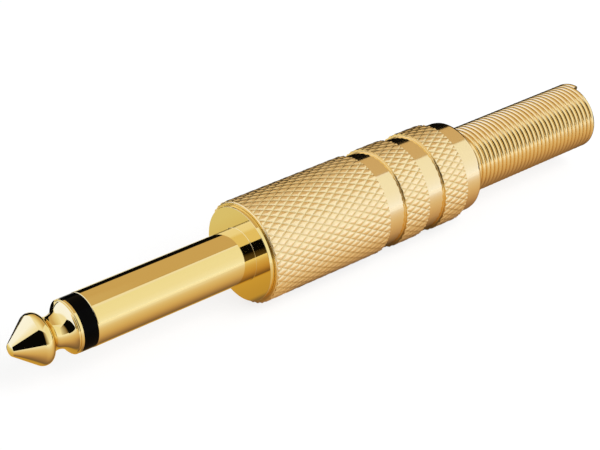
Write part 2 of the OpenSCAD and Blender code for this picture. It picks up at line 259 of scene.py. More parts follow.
def plated_gold(name, colour, edge_colour, roughness, mark_spacing, mark_height, grain, grain_height,
                knurl=None):
    """Gold plating, which copies the marks under it, so that they show as fine rings.

    The marks are as far apart as a tool's feed leaves them, and knurl says how a knurl changes it.
    """
    material, tree = new_material(name)
    place = add(tree, "ShaderNodeTexCoord").outputs["Object"]
    colour = linear(colour)
    if knurl:
        colour, roughness = knurled_look(tree, place, colour, roughness, **knurl)
    clouds = add(tree, "ShaderNodeTexNoise", {"Vector": place, "Scale": 1 / (PLATING_CLOUD * MM),
                                              "Detail": 2})
    uneven = add(tree, "ShaderNodeMapRange", [clouds.outputs["Fac"], NOISE_LOW, NOISE_HIGH,
                                              1 - GLOSS_SPREAD, 1 + GLOSS_SPREAD])
    rough = add(tree, "ShaderNodeMath", [roughness, uneven], operation="MULTIPLY")
    along = add(tree, "ShaderNodeSeparateXYZ", [place]).outputs["X"]
    lines = add(tree, "ShaderNodeTexNoise", {"W": along, "Scale": 1 / (mark_spacing * MM),
                                             "Detail": 3}, noise_dimensions="1D")
    marks = add(tree, "ShaderNodeMapRange", [lines.outputs["Fac"], 0, 1, -1, 1])
    rings = add(tree, "ShaderNodeBump", {"Strength": 1, "Distance": mark_height * MM,
                                         "Height": marks})
    fine = add(tree, "ShaderNodeTexNoise", {"Vector": place, "Scale": 1 / (grain * MM), "Detail": 2})
    bump = add(tree, "ShaderNodeBump", {"Strength": 1, "Distance": grain_height * MM,
                                        "Height": fine.outputs["Fac"], "Normal": rings})
    shader = add(tree, "ShaderNodeBsdfPrincipled", {
        "Base Color": colour, "Metallic": 1, "Roughness": rough, "Normal": bump,
        "Specular Tint": linear(edge_colour)})
    add(tree, "ShaderNodeOutputMaterial", [shader])
    return material


def smooth_plastic(name, colour, roughness, grain, grain_height, gloss=0.5):
    """A moulded, extruded or turned plastic with a slight unevenness in its gloss."""
    material, tree = new_material(name)
    place = add(tree, "ShaderNodeTexCoord").outputs["Object"]
    clouds = add(tree, "ShaderNodeTexNoise", {"Vector": place, "Scale": 1 / (grain * MM),
                                              "Detail": 2}).outputs["Fac"]
    rough = add(tree, "ShaderNodeMapRange", [clouds, 0, 1, roughness * (1 - GLOSS_SPREAD),
                                             roughness * (1 + GLOSS_SPREAD)])
    bump = add(tree, "ShaderNodeBump", {"Strength": 1, "Distance": grain_height * MM,
                                        "Height": clouds})
    shader = add(tree, "ShaderNodeBsdfPrincipled", {
        "Base Color": linear(colour), "Roughness": rough, "IOR": 1.5, "Specular IOR Level": gloss,
        "Normal": bump})
    add(tree, "ShaderNodeOutputMaterial", [shader])
    return material


# Turned and polished brass under bright gold: almost a mirror. The eye gets hard-edged pale and
# tan stripes along the shaft, drawn out a little by rings that are barely there.
polished_gold = plated_gold("polished_gold_plating", "#F0DB9C", "#FFF8E4", 0.04,
                            mark_spacing=0.12, mark_height=0.0001, grain=0.4, grain_height=0.0001)
# Turned and knurled brass under gold: the smooth bands keep a satin gleam, and the rolled pillows
# scatter the light. The pale diamonds between darker, clearly drawn lines are partly that and partly
# painted: a painted highlight on the pillows' tops, painted shade in the grooves, and a deeper
# yellow as painted shade on steps that face the tip.
satin_gold = plated_gold("satin_gold_plating", "#F4E1BA", "#FFF0D0", 0.11,
                         mark_spacing=0.1, mark_height=0.0003, grain=0.06, grain_height=0.0006,
                         knurl={"groove_shade_colour": "#E8D8AC", "pillow_highlight_colour": "#FCE8C2",
                                "wall_shade_colour": "#F4D68C", "rolled_roughness": 0.3})
# Drawn steel wire under gold: the die leaves it less even, so each turn gets one soft highlight.
spring_gold = plated_gold("gold_plated_spring_wire", "#F4DCA6", "#FFECC4", 0.18,
                          mark_spacing=0.1, mark_height=0.0002, grain=0.08, grain_height=0.0004)
# Rolled and stamped brass sheet under gold: a dull, even sheen with the sheet's fine grain.
lug_gold = plated_gold("gold_plated_stamped_brass", "#EED8A0", "#FFF8E8", 0.22,
                       mark_spacing=0.2, mark_height=0.0004, grain=0.1, grain_height=0.0008)
# Acetal that was turned glossy: a deep black ring with hardly a reflection but its highlight.
black_plastic = smooth_plastic("glossy_black_acetal", "#030303", 0.12, 0.5, 0.0002, gloss=0.02)
# Extruded polyethylene without pigment: a waxy, milky off-white.
tube_plastic = smooth_plastic("natural_polyethylene_tube", "#E9E4D2", 0.4, 0.6, 0.001)
# Resin-bonded paper, turned: a matt dark brown in which the cut fibres show as a fine grain.
bush_plastic = smooth_plastic("turned_paper_laminate", "#2C231C", 0.55, 0.15, 0.003)
# Extruded soft vinyl: white with a satin skin.
liner_plastic = smooth_plastic("milky_vinyl_tube", "#ECEBE6", 0.35, 0.8, 0.001)


# Turned pieces


def arc(x, r, radius, start, end, steps):
    """The (place, radius) points of an arc about (x, r), from one angle to another."""
    turns = [math.radians(start + (end - start) * i / steps) for i in range(steps + 1)]
    return [(x + radius * math.cos(t), r + radius * math.sin(t)) for t in turns]


def softened(corners, steps=4):
    """An outline of (place, radius) or (place, radius, rounding) corners, with arcs as roundings."""
    points = []
    for i, corner in enumerate(corners):
        here = Vector(corner[:2])
        if len(corner) == 2:
            points.append(tuple(here))
            continue
        before = (Vector(corners[i - 1][:2]) - here).normalized()
        after = (Vector(corners[(i + 1) % len(corners)][:2]) - here).normalized()
        half = before.angle(after) / 2
        centre = here + (before + after).normalized() * corner[2] / math.sin(half)
        first = here + before * corner[2] / math.tan(half) - centre
        last = here + after * corner[2] / math.tan(half) - centre
        swing = first.angle_signed(last)
        for k in range(steps + 1):
            points.append(tuple(centre + Matrix.Rotation(-swing * k / steps, 2) @ first))
    return points


def held_flat(outline, closed):
    """The outline with a point close to each end of its long lines, so that they are shaded flat."""
    points = []
    for here, after in zip(outline, outline[1:] + outline[:1]):
        points.append(here)
        a, b = Vector(here), Vector(after)
        if (b - a).length > LONG_LINE and (closed or here is not outline[-1]):
            step = (b - a).normalized() * HOLD
            points += [tuple(a + step), tuple(b - step)]
    return points


def ring(bm, x, r, segments):
    """The vertices of a round about the axis. Where it has no radius, all are one vertex."""
    if r == 0:
        return [bm.verts.new((x * MM, 0, 0))] * segments
    angles = [2 * math.pi * k / segments - math.pi for k in range(segments)]
    return [bm.verts.new((x * MM, r * math.cos(t) * MM, r * math.sin(t) * MM)) for t in angles]


def turn(bm, outline, segments, closed=True):
    """Turns an outline round the axis."""
    rings = [ring(bm, x, r, segments) for x, r in held_flat(outline, closed)]
    followers = rings[1:] + rings[:1] if closed else rings[1:]
    for a, b in zip(rings, followers):
        for k in range(segments):
            j = (k + 1) % segments
            corners = list(dict.fromkeys([a[k], b[k], b[j], a[j]]))
            if len(corners) > 2:
                bm.faces.new(corners)


def halved(bm, x, outer_r, inner_r, segments):
    """A flat ring from a round of many segments to one of half as many."""
    outer, inner = ring(bm, x, outer_r, segments), ring(bm, x, inner_r, segments // 2)
    for k, a in enumerate(inner):
        b = inner[(k + 1) % len(inner)]
        first, middle, last = outer[2 * k], outer[2 * k + 1], outer[(2 * k + 2) % segments]
        for corners in ((first, middle, a), (middle, b, a), (middle, last, b)):
            bm.faces.new(corners)


def finished(name, bm, material, sharp_angle=30):
    """A mesh object from a bmesh: welded, facing outwards, and smooth apart from its corners."""
    bmesh.ops.remove_doubles(bm, verts=bm.verts, dist=WELD)
    bmesh.ops.recalc_face_normals(bm, faces=bm.faces)
    mesh = bpy.data.meshes.new(name)
    bm.to_mesh(mesh)
    bm.free()
    mesh.materials.clear()
    mesh.materials.append(material)
    mesh.polygons.foreach_set("material_index", [0] * len(mesh.polygons))
    mesh.polygons.foreach_set("use_smooth", [True] * len(mesh.polygons))
    mesh.set_sharp_from_angle(angle=math.radians(sharp_angle))
    piece = bpy.data.objects.new(name, mesh)
    bpy.context.scene.collection.objects.link(piece)
    return piece


def turned_piece(name, outline, material, segments=HIDDEN_SEGMENTS):
    """A piece made by turning alone."""
    bm = bmesh.new()
    turn(bm, outline, segments)
    return finished(name, bm, material)


# Surfaces that follow a rule: knurl, thread and spring


def new_rule(name, **sizes):
    """A geometry tree with named inputs for its sizes, and the sockets of those inputs."""
    tree = bpy.data.node_groups.new(name, "GeometryNodeTree")
    tree.interface.new_socket("Geometry", in_out="OUTPUT", socket_type="NodeSocketGeometry")
    for size, kind in sizes.items():
        tree.interface.new_socket(size, in_out="INPUT", socket_type="NodeSocket" + kind)
    return tree, add(tree, "NodeGroupInput").outputs


def close_rule(tree, geometry, sizes):
    """Ends a geometry tree: doubles welded, instances made real, and the material set."""
    welded = add(tree, "GeometryNodeMergeByDistance", {"Geometry": geometry, "Distance": WELD})
    real = add(tree, "GeometryNodeRealizeInstances", [welded])
    dressed = add(tree, "GeometryNodeSetMaterial", {"Geometry": real, "Material": sizes["Material"]})
    add(tree, "NodeGroupOutput", [dressed])
    return tree


def grown(tree, values):
    """The mesh that a geometry tree makes from these values."""
    holder = bpy.data.objects.new(tree.name, bpy.data.meshes.new(tree.name))
    bpy.context.scene.collection.objects.link(holder)
    modifier = holder.modifiers.new(tree.name, "NODES")
    modifier.node_group = tree
    sockets = {s.name: s.identifier for s in tree.interface.items_tree if s.in_out == "INPUT"}
    for size, value in values.items():
        modifier[sockets[size]] = value
    evaluated = holder.evaluated_get(bpy.context.evaluated_depsgraph_get())
    mesh = bpy.data.meshes.new_from_object(evaluated)
    holder.modifiers.remove(modifier)
    bpy.data.objects.remove(holder)
    return mesh


BAND_SIZES = {"Start": "Float", "End": "Float", "Row": "Float", "Rows": "Int", "Columns": "Int",
              "Radius": "Float", "Depth": "Float", "Pitch": "Float", "Slope": "Float",
              "Start radius": "Float", "End radius": "Float", "Lead": "Float",
              "Material": "Material"}


def band_values(start, end, row, columns, radius, depth, pitch, slope, start_radius, end_radius,
                material, lead=0):
    """The values of BAND_SIZES from millimetres. Lead is the first row's place past the start."""
    whole = 1e-4  # keeps a whole number of rows from being rounded up
    rows = math.ceil((end - start - lead) / row - whole)
    return {"Start": start * MM, "End": end * MM, "Row": row * MM, "Rows": rows,
            "Columns": columns, "Radius": radius * MM, "Depth": depth * MM, "Pitch": pitch * MM,
            "Slope": slope, "Start radius": start_radius * MM, "End radius": end_radius * MM,
            "Lead": lead * MM, "Material": material}


def unrolled_grid(tree, sizes):
    """A flat grid, with each point's place along the axis, held between both ends, and its angle."""
    length = add(tree, "ShaderNodeMath", [sizes["Rows"], sizes["Row"]], operation="MULTIPLY")
    row_points = add(tree, "ShaderNodeMath", [sizes["Rows"], 1])
    column_points = add(tree, "ShaderNodeMath", [sizes["Columns"], 1])
    grid = add(tree, "GeometryNodeMeshGrid", [length, 2 * math.pi, row_points, column_points])
    place = add(tree, "ShaderNodeSeparateXYZ", [add(tree, "GeometryNodeInputPosition")])
    first = add(tree, "ShaderNodeMath", [sizes["Start"], sizes["Lead"]])
    middle = add(tree, "ShaderNodeMath", [length, 0.5, first], operation="MULTIPLY_ADD")
    free = add(tree, "ShaderNodeMath", [place.outputs["X"], middle])
    along = add(tree, "ShaderNodeClamp", [free, sizes["Start"], sizes["End"]])
    return grid, along, place.outputs["Y"]


def wrapped(tree, grid, along, around, radius):
    """The grid wrapped round the axis at that radius."""
    cosine = add(tree, "ShaderNodeMath", [around], operation="COSINE")
    sine = add(tree, "ShaderNodeMath", [around], operation="SINE")
    y = add(tree, "ShaderNodeMath", [radius, cosine], operation="MULTIPLY")
    z = add(tree, "ShaderNodeMath", [radius, sine], operation="MULTIPLY")
    position = add(tree, "ShaderNodeCombineXYZ", [along, y, z])
    return add(tree, "GeometryNodeSetPosition", {"Geometry": grid, "Position": position})


def end_bevels(tree, sizes, along, radius, limit):
    """The radius, limited at both ends by a bevel that starts at the radius given for that end."""
    from_start = add(tree, "ShaderNodeMath", [along, sizes["Start"]], operation="SUBTRACT")
    to_end = add(tree, "ShaderNodeMath", [sizes["End"], along], operation="SUBTRACT")
    front = add(tree, "ShaderNodeMath", [from_start, sizes["Slope"], sizes["Start radius"]],
                operation="MULTIPLY_ADD")
    rear = add(tree, "ShaderNodeMath", [to_end, sizes["Slope"], sizes["End radius"]],
               operation="MULTIPLY_ADD")
    bevels = add(tree, "ShaderNodeMath", [front, rear], operation=limit)
    return add(tree, "ShaderNodeMath", [radius, bevels], operation=limit)


def knurl_rule():
    """Pillows between two sets of grooves that wind opposite ways.

    The grid's quads are split along the grooves, so that these stay sharp.
    """
    tree, sizes = new_rule("knurl", **BAND_SIZES, Count="Int", Steps="Int", Fullness="Float",
                           Blend="Float")
    grid, along, around = unrolled_grid(tree, sizes)
    number = add(tree, "GeometryNodeInputIndex")
    row = add(tree, "ShaderNodeMath", [number, sizes["Columns"]], operation="DIVIDE")
    whole_row = add(tree, "ShaderNodeMath", [row], operation="FLOOR")
    column = add(tree, "ShaderNodeMath", [number, sizes["Columns"]], operation="FLOORED_MODULO")
    cells = []
    for fine in (whole_row, column):
        share = add(tree, "ShaderNodeMath", [fine, sizes["Steps"]], operation="DIVIDE")
        cells.append(add(tree, "ShaderNodeMath", [share], operation="FLOOR"))
    both = add(tree, "ShaderNodeMath", cells)
    parity = add(tree, "ShaderNodeMath", [both, 2], operation="FLOORED_MODULO")
    even = add(tree, "FunctionNodeCompare", {"A": parity, "B": 0.5}, operation="LESS_THAN")
    one_way = add(tree, "GeometryNodeTriangulate", {"Mesh": grid, "Selection": even},
                  quad_method="FIXED")
    split = add(tree, "GeometryNodeTriangulate", [one_way], quad_method="FIXED_ALTERNATE")
    angle_share = add(tree, "ShaderNodeMath", [around, 2 * math.pi], operation="DIVIDE")
    turns = add(tree, "ShaderNodeMath", [angle_share, sizes["Count"]], operation="MULTIPLY")
    first = add(tree, "ShaderNodeMath", [sizes["Start"], sizes["Lead"]])
    from_first = add(tree, "ShaderNodeMath", [along, first], operation="SUBTRACT")
    lean = add(tree, "ShaderNodeMath", [from_first, sizes["Pitch"]], operation="DIVIDE")
    heights = []
    for operation in ("ADD", "SUBTRACT"):
        phase = add(tree, "ShaderNodeMath", [turns, lean], operation=operation)
        off_groove = add(tree, "ShaderNodeMath", [phase, 0.5], operation="PINGPONG")
        to_middle = add(tree, "ShaderNodeMath", [off_groove, -2, 1], operation="MULTIPLY_ADD")
        fall = add(tree, "ShaderNodeMath", [to_middle, sizes["Fullness"]], operation="POWER")
        heights.append(add(tree, "ShaderNodeMath", [1, fall], operation="SUBTRACT"))
    height = add(tree, "ShaderNodeMath", [*heights, sizes["Blend"]], operation="SMOOTH_MIN")
    floor = add(tree, "ShaderNodeMath", [sizes["Radius"], sizes["Depth"]], operation="SUBTRACT")
    raised = add(tree, "ShaderNodeMath", [height, 0], operation="MAXIMUM")
    radius = add(tree, "ShaderNodeMath", [raised, sizes["Depth"], floor], operation="MULTIPLY_ADD")
    radius = end_bevels(tree, sizes, along, radius, "MINIMUM")
    return close_rule(tree, wrapped(tree, split, along, around, radius), sizes)


def thread_rule(name, limit):
    """A right-hand thread with flat crests and roots. limit keeps it on one side of its bevels."""
    tree, sizes = new_rule(name, **BAND_SIZES)
    grid, along, around = unrolled_grid(tree, sizes)
    turns = add(tree, "ShaderNodeMath", [around, 2 * math.pi], operation="DIVIDE")
    lead = add(tree, "ShaderNodeMath", [along, sizes["Pitch"]], operation="DIVIDE")
    phase = add(tree, "ShaderNodeMath", [lead, turns], operation="SUBTRACT")
    off_root = add(tree, "ShaderNodeMath", [phase, 0.5], operation="PINGPONG")
    root = add(tree, "ShaderNodeMath", [sizes["Radius"], sizes["Depth"]], operation="SUBTRACT")
    radius = add(tree, "ShaderNodeMapRange", [off_root, ROOT_FLAT, 0.5 - CREST_FLAT, root,
                                              sizes["Radius"]])
    radius = end_bevels(tree, sizes, along, radius, limit)
    return close_rule(tree, wrapped(tree, grid, along, around, radius), sizes)


def spring_rule():
    """A wire swept along a right-hand helix whose front turns are wider."""
    tree, sizes = new_rule("wound_wire", **{
        "Start": "Float", "End": "Float", "Turns": "Float", "Steps": "Int", "Sides": "Int",
        "Coil radius": "Float", "Flare radius": "Float", "Flare start": "Float",
        "Flare end": "Float", "Wire radius": "Float", "End angle": "Float",
        "Material": "Material"})
    front = add(tree, "ShaderNodeCombineXYZ", [sizes["Start"]])
    rear = add(tree, "ShaderNodeCombineXYZ", [sizes["End"]])
    line = add(tree, "GeometryNodeCurvePrimitiveLine", [front, rear])
    count = add(tree, "ShaderNodeMath", [sizes["Turns"], sizes["Steps"]], operation="MULTIPLY")
    points = add(tree, "GeometryNodeResampleCurve", {"Curve": line, "Count": count}, mode="COUNT")
    share = add(tree, "GeometryNodeSplineParameter").outputs["Factor"]
    done = add(tree, "ShaderNodeMath", [share, sizes["Turns"]], operation="MULTIPLY")
    radius = add(tree, "ShaderNodeMapRange", [done, sizes["Flare start"], sizes["Flare end"],
                                              sizes["Flare radius"], sizes["Coil radius"]],
                 interpolation_type="SMOOTHSTEP")
    left = add(tree, "ShaderNodeMath", [done, sizes["Turns"]], operation="SUBTRACT")
    angle = add(tree, "ShaderNodeMath", [left, 2 * math.pi, sizes["End angle"]],
                operation="MULTIPLY_ADD")
    position = add(tree, "GeometryNodeInputPosition")
    along = add(tree, "ShaderNodeSeparateXYZ", [position]).outputs["X"]
    helix = wrapped(tree, points, along, angle, radius)
    wire = add(tree, "GeometryNodeCurvePrimitiveCircle", {"Resolution": sizes["Sides"],
                                                          "Radius": sizes["Wire radius"]})
    swept = add(tree, "GeometryNodeCurveToMesh", {"Curve": helix, "Profile Curve": wire,
                                                  "Fill Caps": True})
    return close_rule(tree, swept, sizes)


# The plug's pieces


def make_tip():
    """Cone, ball, neck, shoulder and rim, in one piece with the rod that is peened at the rear."""
    cone_n = 90 + CONE_ANGLE
    slope, lean = math.tan(math.radians(CONE_ANGLE)), math.cos(math.radians(CONE_ANGLE))
    rise = math.tan(math.radians(TIP_DOME / 2))
    edge_r = TIP_FLAT_R / (1 - slope * rise)
    edge_x = TIP_X + TIP_EDGE + edge_r * rise
    dome_r = TIP_EDGE + edge_r / math.sin(math.radians(TIP_DOME))
    cone_x = edge_x + TIP_EDGE * math.cos(math.radians(cone_n))
    cone_r = edge_r + TIP_EDGE * math.sin(math.radians(cone_n))
    ball_r = BALL_R - BALL_ROUND
    ball_x = cone_x + (ball_r - cone_r + BALL_ROUND / lean) / slope
    neck_r = NECK_R + NECK_ROUND
    neck_x = ball_x + math.sqrt((BALL_ROUND + NECK_ROUND) ** 2 - (ball_r - neck_r) ** 2)
    meet = math.degrees(math.atan2(neck_r - ball_r, neck_x - ball_x))
    rear_r = NECK_R + NECK_REAR_ROUND
    tilt = math.radians(SHOULDER_ANGLE)
    slope_x = neck_x + NECK_REAR_ROUND * math.sin(tilt)
    slope_r = rear_r - NECK_REAR_ROUND * math.cos(tilt)
    shoulder_r = SHOULDER_R - SHOULDER_ROUND
    shoulder_x = slope_x + (
        shoulder_r - slope_r + SHOULDER_ROUND / math.cos(tilt)) / math.tan(tilt)
    rim_x, lug_x = COLLAR_X - RIM_W, HEAD_END - HEAD_H
    front = [(TIP_X, 0),
             *arc(TIP_X + dome_r, 0, dome_r, 180, 180 - TIP_DOME, steps=6)[1:-1],
             *arc(edge_x, edge_r, TIP_EDGE, 180 - TIP_DOME, cone_n, steps=6),
             *arc(ball_x, ball_r, BALL_ROUND, cone_n, meet, steps=16),
             *arc(neck_x, neck_r, NECK_ROUND, 180 + meet, 270, steps=14),
             *arc(neck_x, rear_r, NECK_REAR_ROUND, 270, 270 + SHOULDER_ANGLE, steps=20),
             *arc(shoulder_x, shoulder_r, SHOULDER_ROUND, 90 + SHOULDER_ANGLE, 90, steps=8)]
    rear = softened([
        (shoulder_x, SHOULDER_R), (rim_x, SHOULDER_R, FINE), (rim_x, RIM_R, CRISP),
        (COLLAR_X, RIM_R, CRISP), (COLLAR_X, ROD_R), (lug_x, ROD_R), (lug_x, HEAD_R, PLAIN),
        (HEAD_END, HEAD_R, HEAD_ROUND), (HEAD_END, DISH_R, DISH_DEPTH),
        (HEAD_END - DISH_DEPTH, 0)])
    return turned_piece("tip", front + rear[1:], polished_gold, SEEN_SEGMENTS)


def make_collar():
    """The glossy black ring between tip and shaft, with its spigot."""
    outline = softened([
        (COLLAR_X, HOLE_R), (COLLAR_X, COLLAR_R, PLAIN), (SHAFT_FRONT, COLLAR_R, PLAIN),
        (SHAFT_FRONT, SPIGOT_R), (SPIGOT_END, SPIGOT_R, SOFT), (SPIGOT_END, HOLE_R)])
    return turned_piece("collar", outline, black_plastic, SEEN_SEGMENTS)


def make_sleeve():
    """Shaft, flange and threaded hub in one piece. Its thread is a wrapped band welded in."""
    hub_start, hub_end = FLANGE_T + RELIEF_W, FLANGE_T + RELIEF_W + THREAD_LEN
    front_bore, rear_bore = SPIGOT_R + SPIGOT_CLEAR, BUSH_SPIGOT_R + SPIGOT_CLEAR
    outline = softened([
        (hub_end, THREAD_END_R), (hub_end, STAKE_R), (STAKE_X, STAKE_R, STAKE_ROUND),
        (STAKE_X, rear_bore), (BUSH_X, rear_bore), (BUSH_X, SLEEVE_BORE),
        (SPIGOT_END, SLEEVE_BORE), (SPIGOT_END, front_bore), (SHAFT_X, front_bore),
        (SHAFT_X, SHAFT_R, SHAFT_ROUND), (0, SHAFT_R, PLAIN), (0, FLANGE_R, CRISP),
        (FLANGE_T, FLANGE_R, CRISP), (FLANGE_T, RELIEF_R, RELIEF_ROUND), (hub_start, RELIEF_R)])
    bm = bmesh.new()
    turn(bm, outline, SEEN_SEGMENTS, closed=False)
    bm.from_mesh(grown(thread_rule("outside_thread", "MINIMUM"), band_values(
        start=hub_start, end=hub_end, row=THREAD_PITCH / 12, columns=SEEN_SEGMENTS,
        radius=THREAD_R, depth=THREAD_DEPTH, pitch=THREAD_PITCH, slope=1,
        start_radius=RELIEF_R, end_radius=THREAD_END_R, material=polished_gold)))
    return finished("sleeve_shaft", bm, polished_gold)


def knurled_bands():
    """Start and end of each knurled band. Each reaches a little way down into its grooves."""
    start, bands = BARREL_X + FIRST_BAND, []
    for length in BAND_LENGTHS:
        bands.append((start - BAND_REACH, start + length + BAND_REACH))
        start += length + GROOVE_W
    bands[0] = (BARREL_X + MOUTH_ROUND, bands[0][1])
    return bands


def make_barrel():
    """The shell: three knurled bands between turned grooves, a smooth tail, and a threaded mouth.

    Its hidden inside has half as many segments as the knurl on its outside.
    """
    segments = 2 * KNURL_COUNT * KNURL_STEPS
    half_diamond = math.pi * BARREL_R / KNURL_COUNT / math.tan(math.radians(KNURL_ANGLE))
    floor_r = BARREL_R - KNURL_DEPTH
    bm, knurl, bands = bmesh.new(), knurl_rule(), knurled_bands()
    for start, end in bands:
        inner = end - start - 2 * KNURL_WALL
        row = inner / round(inner * KNURL_STEPS / half_diamond)
        bm.from_mesh(grown(knurl, band_values(
            start=start, end=end, row=row, columns=segments, radius=BARREL_R, depth=KNURL_DEPTH,
            pitch=2 * KNURL_STEPS * row, slope=KNURL_DEPTH / KNURL_WALL, start_radius=floor_r,
            end_radius=floor_r, material=satin_gold, lead=KNURL_WALL - row) | {
                "Count": KNURL_COUNT, "Steps": KNURL_STEPS, "Fullness": KNURL_FULLNESS,
                "Blend": KNURL_BLEND}))
    thread_start = BARREL_X + MOUTH_LAND
    thread_end = FLANGE_T + RELIEF_W + THREAD_LEN + THREAD_RUNOUT
    thread_r = THREAD_R + THREAD_CLEAR
    bm.from_mesh(grown(thread_rule("inside_thread", "MAXIMUM"), band_values(
        start=thread_start, end=thread_end, row=THREAD_PITCH / 6, columns=segments // 2,
        radius=thread_r, depth=THREAD_DEPTH, pitch=THREAD_PITCH, slope=-1,
        start_radius=MOUTH_BORE_R, end_radius=thread_r, material=satin_gold)))
    turn(bm, [(thread_start, MOUTH_BORE_R), (BARREL_X, MOUTH_BORE_R)], segments // 2, closed=False)
    halved(bm, BARREL_X, MOUTH_BORE_R + HALVING_W, MOUTH_BORE_R, segments)
    turn(bm, softened([(BARREL_X, MOUTH_BORE_R + HALVING_W), (BARREL_X, floor_r, MOUTH_ROUND),
                       (bands[0][1], floor_r)])[:-1], segments, closed=False)
    for left, right in zip(bands, bands[1:]):
        turn(bm, softened([
            (left[1], floor_r), (left[1] + KNURL_WALL, GROOVE_R, GROOVE_FRONT_ROUND),
            (right[0] - KNURL_WALL, GROOVE_R, GROOVE_REAR_ROUND), (right[0], floor_r)], steps=3),
            segments, closed=False)
    tail_x, wall_x = bands[-1][1], BARREL_END - REAR_WALL
    rim_r = EXIT_R + 2 * HALVING_W
    turn(bm, softened([
        (tail_x, floor_r), (tail_x + KNURL_WALL, TAIL_R, GROOVE_FRONT_ROUND),
        (BARREL_END, TAIL_R, TAIL_ROUND), (BARREL_END, rim_r)]), segments, closed=False)
    halved(bm, BARREL_END, rim_r, EXIT_R + HALVING_W, segments)
    turn(bm, softened([
        (BARREL_END, EXIT_R + HALVING_W), (BARREL_END, EXIT_R, EXIT_ROUND), (wall_x, EXIT_R, SOFT),
        (wall_x, BORE_R), (thread_end, BORE_R), (thread_end, thread_r)]),
        segments // 2, closed=False)
    return finished("knurled_barrel", bm, satin_gold, sharp_angle=40)


def make_spring():
    """The strain relief: close-wound wire with its front turns wide enough to stay in the barrel."""
    start, end = SPRING_X + WIRE_R, SPRING_END - WIRE_R
    bm = bmesh.new()
    bm.from_mesh(grown(spring_rule(), {
        "Start": start * MM, "End": end * MM, "Turns": (end - start) / COIL_PITCH,
        "Steps": COIL_STEPS, "Sides": WIRE_SIDES, "Coil radius": COIL_R * MM,
        "Flare radius": (FLARE_R - WIRE_R) * MM, "Flare start": FLARE_HOLD * FLARE_TURNS,
        "Flare end": FLARE_TURNS, "Wire radius": WIRE_R * MM,
        "End angle": math.radians(WIRE_END_ANGLE), "Material": spring_gold}))
    return finished("relief_coil", bm, spring_gold, sharp_angle=50)


def make_liner():
    """The insulating tube inside the barrel."""
    outline = softened([(LINER_X, LINER_R - LINER_T), (LINER_X, LINER_R, PLAIN),
                        (LINER_END, LINER_R, PLAIN), (LINER_END, LINER_R - LINER_T)])
    return turned_piece("barrel_liner", outline, liner_plastic)


def make_rod_tube():
    """The insulating tube on the tip's rod, inside the shaft."""
    outline = softened([(TUBE_X, HOLE_R), (TUBE_X, TUBE_R, PLAIN), (TUBE_END, TUBE_R, PLAIN),
                        (TUBE_END, HOLE_R)])
    return turned_piece("rod_insulation", outline, tube_plastic)


def make_bush():
    """The flanged bush that keeps the rod and the tip's lug off the hub."""
    flange_x = BUSH_END - BUSH_FLANGE_T
    outline = softened([
        (BUSH_X, HOLE_R), (BUSH_X, BUSH_SPIGOT_R, SOFT), (flange_x, BUSH_SPIGOT_R),
        (flange_x, BUSH_R, BUSH_ROUND), (BUSH_END, BUSH_R, SOFT), (BUSH_END, HOLE_R)])
    return turned_piece("hub_bush", outline, bush_plastic)


# The pieces, the body that each moves with, the solids that it stands for, and its finish


def dress(piece, body, node):
    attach(piece, body)
    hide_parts(node)


dress(make_liner(), "liner_carriage", "liner")
dress(make_rod_tube(), "plug", "rod_tube")
dress(make_bush(), "plug", "rear_bush")
dress(make_tip(), "plug", "tip_contact")
dress(make_collar(), "plug", "tip_collar")
dress(make_sleeve(), "plug", "sleeve")
dress(make_barrel(), "barrel", "barrel")
dress(make_spring(), "spring", "relief_spring")
for name in ("ground_lug", "tip_lug"):
    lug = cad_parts[name]
    lug.data.materials.clear()
    lug.data.materials.append(lug_gold)


# The table, the light and the camera

FLOOR_Z = -BARREL_R
# Boards that lie on the table lie this far above each other.
SHEET = 0.02
CENTRE = Vector(((TIP_X + SPRING_END) / 2, 0, 0)) * MM
# The studio's own directions: ahead of the camera along the table, to its right, and up
FORWARD = Vector((0.642, 0.767, 0)).normalized()
RIGHT = Vector((FORWARD.y, -FORWARD.x, 0))
UP = Vector((0, 0, 1))

# The camera's lens, place and directions, as fitted to the photograph's edges
LENS = 108.3
SENSOR_W = 36
CAMERA_PLACE = Vector((-107.675, -139.494, 105.346))
CAMERA_RIGHT = Vector((0.767029, -0.641613, 0))
CAMERA_AHEAD = Vector((0.555860, 0.664515, -0.499439))

# Light is given as linear colour, because some is brighter than the white of a hex colour.
# Light from the table by its place across the plug, in front of the axis to behind it. Beside
# the thick barrel the shade reaches further: from the first to the second of SHRINK_X the places
# shrink to SHADE_SHRINK of themselves.
SHADE = ((-45, (1, 1, 1)), (-23.9, (0.91, 0.82, 0.69)), (-15.7, (0.84, 0.68, 0.46)),
         (-11.4, (0.79, 0.61, 0.355)), (-8.5, (0.745, 0.535, 0.28)), (-6.5, (0.67, 0.455, 0.225)),
         (-4.8, (0.54, 0.345, 0.175)), (-3.2, (0.37, 0.225, 0.125)), (-1.4, (0.2, 0.13, 0.08)),
         (-1, (0.3, 0.19, 0.08)), (-0.5, (0.58, 0.36, 0.08)), (3, (0.68, 0.43, 0.09)),
         (8, (0.74, 0.55, 0.21)), (16.3, (0.79, 0.72, 0.41)), (25, (0.8, 0.75, 0.5)))
SHRINK_X = (4, 22)
SHADE_SHRINK = 0.72
